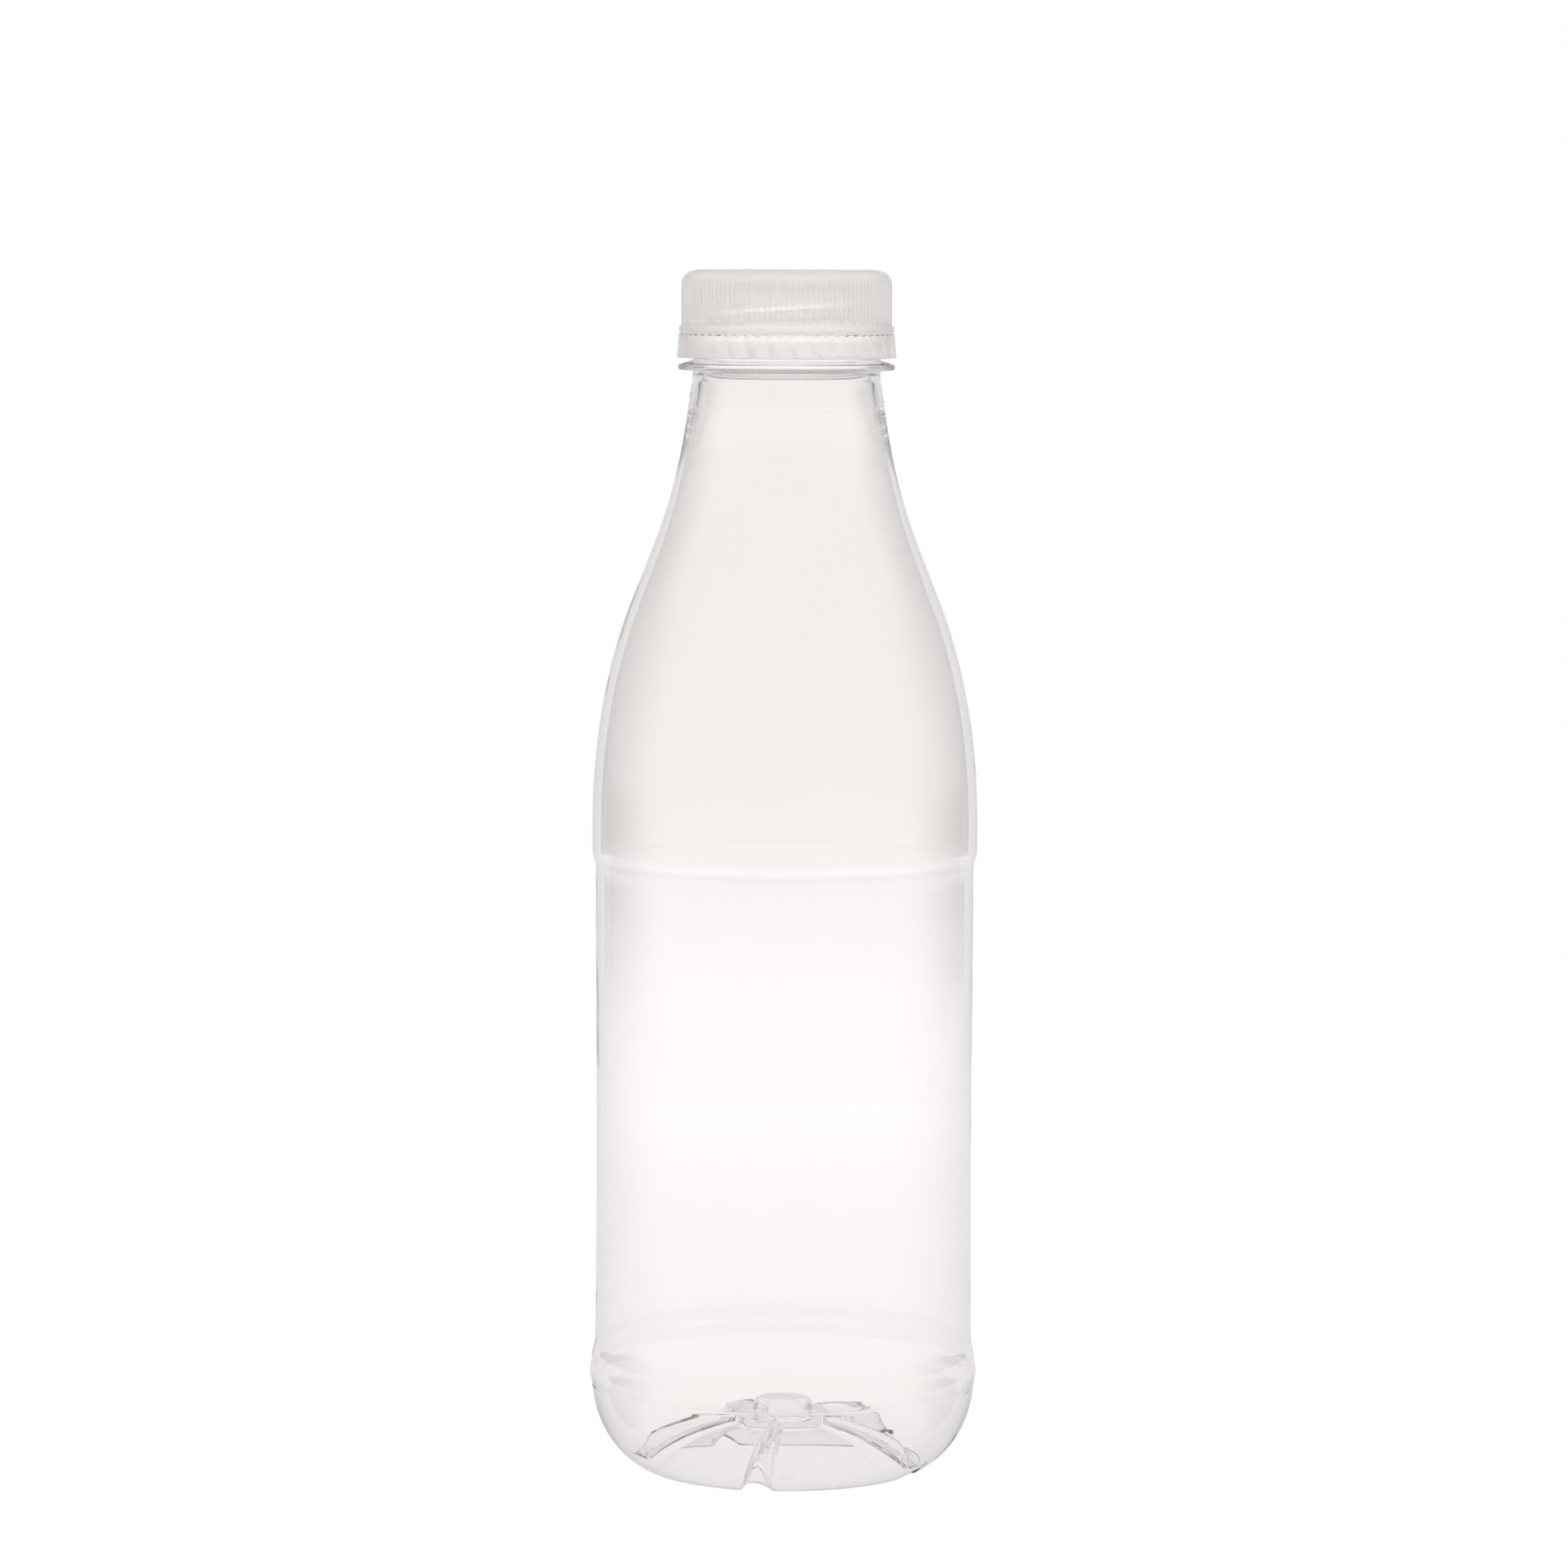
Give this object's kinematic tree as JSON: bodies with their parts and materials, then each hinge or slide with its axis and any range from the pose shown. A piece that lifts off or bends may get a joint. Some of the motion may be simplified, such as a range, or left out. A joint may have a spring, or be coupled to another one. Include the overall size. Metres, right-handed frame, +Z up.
{
  "type": "plastic milk bottle",
  "caption": "Empty clear PET milk bottle with a sloping shoulder, a slim label panel and a grooved foot, shut by a translucent screw cap and its tamper band.",
  "frame": {"origin": "centre of the circle that the feet stand on, on the bottle's axis", "axes": "+Z up along the bottle's axis; the front of the picture faces -Y, and +X is to its right"},
  "size_m": [0.0756, 0.0756, 0.2336],
  "materials": {
    "clear_pet": "clear blown PET, glossy, faint waves in the wall",
    "natural_closure": "translucent uncoloured moulded plastic, satin"
  },
  "bodies": {
    "root": {"bottle": "clear_pet", "cap": "natural_closure", "tamper_band": "natural_closure"}
  },
  "joints": []
}
